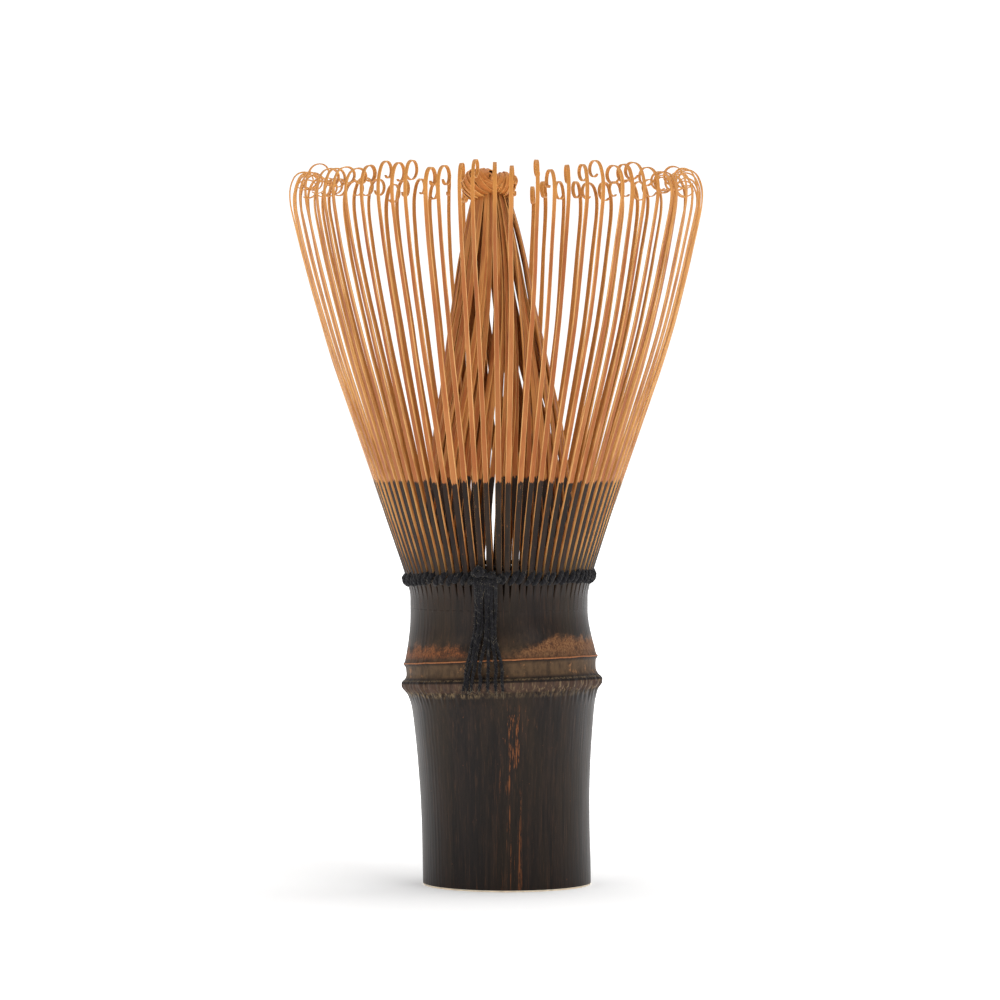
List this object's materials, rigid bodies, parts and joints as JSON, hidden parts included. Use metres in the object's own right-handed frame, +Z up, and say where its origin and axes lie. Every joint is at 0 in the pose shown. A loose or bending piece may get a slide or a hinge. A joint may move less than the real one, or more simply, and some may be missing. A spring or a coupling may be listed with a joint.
{
  "type": "bamboo tea whisk",
  "caption": "Tea whisk split from one culm of dark bamboo: a handle with a node ring, a flared crown of curled tines round a pointed inner bundle, tied with black thread.",
  "frame": {"origin": "on the resting plane, on the axis of the tine crown", "axes": "+Z up from the handle's foot to the curled tips; -Y is the front, where the thread's knot and tails are"},
  "size_m": [0.0648, 0.0648, 0.112],
  "materials": {
    "smoked_bamboo": "satin natural bamboo skin, dark brown",
    "split_bamboo": "satin split bamboo, orange brown",
    "cotton_thread": "matt twisted cotton, black"
  },
  "bodies": {
    "culm": {"handle": "smoked_bamboo", "inner_tines_01": "split_bamboo", "inner_tines_02": "split_bamboo", "inner_tines_03": "split_bamboo", "inner_tines_04": "split_bamboo", "inner_tines_05": "split_bamboo", "inner_tines_06": "split_bamboo", "inner_tines_07": "split_bamboo", "inner_tines_08": "split_bamboo", "inner_tines_09": "split_bamboo", "inner_tines_10": "split_bamboo", "inner_tines_11": "split_bamboo", "inner_tines_12": "split_bamboo", "inner_tines_13": "split_bamboo", "inner_tines_14": "split_bamboo", "inner_tines_15": "split_bamboo", "inner_tines_16": "split_bamboo", "inner_tines_17": "split_bamboo", "inner_tines_18": "split_bamboo", "inner_tip_twist": "split_bamboo", "thread_ring_outer": "cotton_thread", "thread_ring_inner": "cotton_thread", "thread_knot": "cotton_thread", "thread_tail_1": "cotton_thread", "thread_tail_2": "cotton_thread", "thread_tail_3": "cotton_thread", "thread_tail_4": "cotton_thread", "thread_tail_5": "cotton_thread", "thread_tail_6": "cotton_thread", "thread_tail_7": "cotton_thread"},
    "outer_section_01": {"outer_tines_01": "split_bamboo"},
    "outer_section_02": {"outer_tines_02": "split_bamboo"},
    "outer_section_03": {"outer_tines_03": "split_bamboo"},
    "outer_section_04": {"outer_tines_04": "split_bamboo"},
    "outer_section_05": {"outer_tines_05": "split_bamboo"},
    "outer_section_06": {"outer_tines_06": "split_bamboo"},
    "outer_section_07": {"outer_tines_07": "split_bamboo"},
    "outer_section_08": {"outer_tines_08": "split_bamboo"},
    "outer_section_09": {"outer_tines_09": "split_bamboo"},
    "outer_section_10": {"outer_tines_10": "split_bamboo"},
    "outer_section_11": {"outer_tines_11": "split_bamboo"},
    "outer_section_12": {"outer_tines_12": "split_bamboo"},
    "outer_section_13": {"outer_tines_13": "split_bamboo"},
    "outer_section_14": {"outer_tines_14": "split_bamboo"},
    "outer_section_15": {"outer_tines_15": "split_bamboo"},
    "outer_section_16": {"outer_tines_16": "split_bamboo"},
    "outer_section_17": {"outer_tines_17": "split_bamboo"},
    "outer_section_18": {"outer_tines_18": "split_bamboo"}
  },
  "joints": [
    {"name": "flex_01", "type": "hinge", "parent": "culm", "child": "outer_section_01", "pos_m": [0.00178, -0.01348, 0.0482], "axis": [0.9914, 0.1305, 0], "range_deg": [-4.5, 6], "stiffness_Nm_per_rad": 0.0064},
    {"name": "flex_02", "type": "hinge", "parent": "culm", "child": "outer_section_02", "pos_m": [0.00628, -0.01206, 0.0482], "axis": [0.887, 0.4617, 0], "range_deg": [-4.5, 6], "stiffness_Nm_per_rad": 0.0064},
    {"name": "flex_03", "type": "hinge", "parent": "culm", "child": "outer_section_03", "pos_m": [0.01003, -0.00919, 0.0482], "axis": [0.6756, 0.7373, 0], "range_deg": [-4.5, 6], "stiffness_Nm_per_rad": 0.0064},
    {"name": "flex_04", "type": "hinge", "parent": "culm", "child": "outer_section_04", "pos_m": [0.01256, -0.0052, 0.0482], "axis": [0.3827, 0.9239, 0], "range_deg": [-4.5, 6], "stiffness_Nm_per_rad": 0.0064},
    {"name": "flex_05", "type": "hinge", "parent": "culm", "child": "outer_section_05", "pos_m": [0.01359, -0.00059, 0.0482], "axis": [0.0436, 0.999, 0], "range_deg": [-4.5, 6], "stiffness_Nm_per_rad": 0.0064},
    {"name": "flex_06", "type": "hinge", "parent": "culm", "child": "outer_section_06", "pos_m": [0.01297, 0.00409, 0.0482], "axis": [-0.3007, 0.9537, 0], "range_deg": [-4.5, 6], "stiffness_Nm_per_rad": 0.0064},
    {"name": "flex_07", "type": "hinge", "parent": "culm", "child": "outer_section_07", "pos_m": [0.01079, 0.00828, 0.0482], "axis": [-0.6088, 0.7934, 0], "range_deg": [-4.5, 6], "stiffness_Nm_per_rad": 0.0064},
    {"name": "flex_08", "type": "hinge", "parent": "culm", "child": "outer_section_08", "pos_m": [0.00731, 0.01147, 0.0482], "axis": [-0.8434, 0.5373, 0], "range_deg": [-4.5, 6], "stiffness_Nm_per_rad": 0.0064},
    {"name": "flex_09", "type": "hinge", "parent": "culm", "child": "outer_section_09", "pos_m": [0.00294, 0.01328, 0.0482], "axis": [-0.9763, 0.2164, 0], "range_deg": [-4.5, 6], "stiffness_Nm_per_rad": 0.0064},
    {"name": "flex_10", "type": "hinge", "parent": "culm", "child": "outer_section_10", "pos_m": [-0.00178, 0.01348, 0.0482], "axis": [-0.9914, -0.1305, 0], "range_deg": [-4.5, 6], "stiffness_Nm_per_rad": 0.0064},
    {"name": "flex_11", "type": "hinge", "parent": "culm", "child": "outer_section_11", "pos_m": [-0.00628, 0.01206, 0.0482], "axis": [-0.887, -0.4617, 0], "range_deg": [-4.5, 6], "stiffness_Nm_per_rad": 0.0064},
    {"name": "flex_12", "type": "hinge", "parent": "culm", "child": "outer_section_12", "pos_m": [-0.01003, 0.00919, 0.0482], "axis": [-0.6756, -0.7373, 0], "range_deg": [-4.5, 6], "stiffness_Nm_per_rad": 0.0064},
    {"name": "flex_13", "type": "hinge", "parent": "culm", "child": "outer_section_13", "pos_m": [-0.01256, 0.0052, 0.0482], "axis": [-0.3827, -0.9239, 0], "range_deg": [-4.5, 6], "stiffness_Nm_per_rad": 0.0064},
    {"name": "flex_14", "type": "hinge", "parent": "culm", "child": "outer_section_14", "pos_m": [-0.01359, 0.00059, 0.0482], "axis": [-0.0436, -0.999, 0], "range_deg": [-4.5, 6], "stiffness_Nm_per_rad": 0.0064},
    {"name": "flex_15", "type": "hinge", "parent": "culm", "child": "outer_section_15", "pos_m": [-0.01297, -0.00409, 0.0482], "axis": [0.3007, -0.9537, 0], "range_deg": [-4.5, 6], "stiffness_Nm_per_rad": 0.0064},
    {"name": "flex_16", "type": "hinge", "parent": "culm", "child": "outer_section_16", "pos_m": [-0.01079, -0.00828, 0.0482], "axis": [0.6088, -0.7934, 0], "range_deg": [-4.5, 6], "stiffness_Nm_per_rad": 0.0064},
    {"name": "flex_17", "type": "hinge", "parent": "culm", "child": "outer_section_17", "pos_m": [-0.00731, -0.01147, 0.0482], "axis": [0.8434, -0.5373, 0], "range_deg": [-4.5, 6], "stiffness_Nm_per_rad": 0.0064},
    {"name": "flex_18", "type": "hinge", "parent": "culm", "child": "outer_section_18", "pos_m": [-0.00294, -0.01328, 0.0482], "axis": [0.9763, -0.2164, 0], "range_deg": [-4.5, 6], "stiffness_Nm_per_rad": 0.0064}
  ]
}
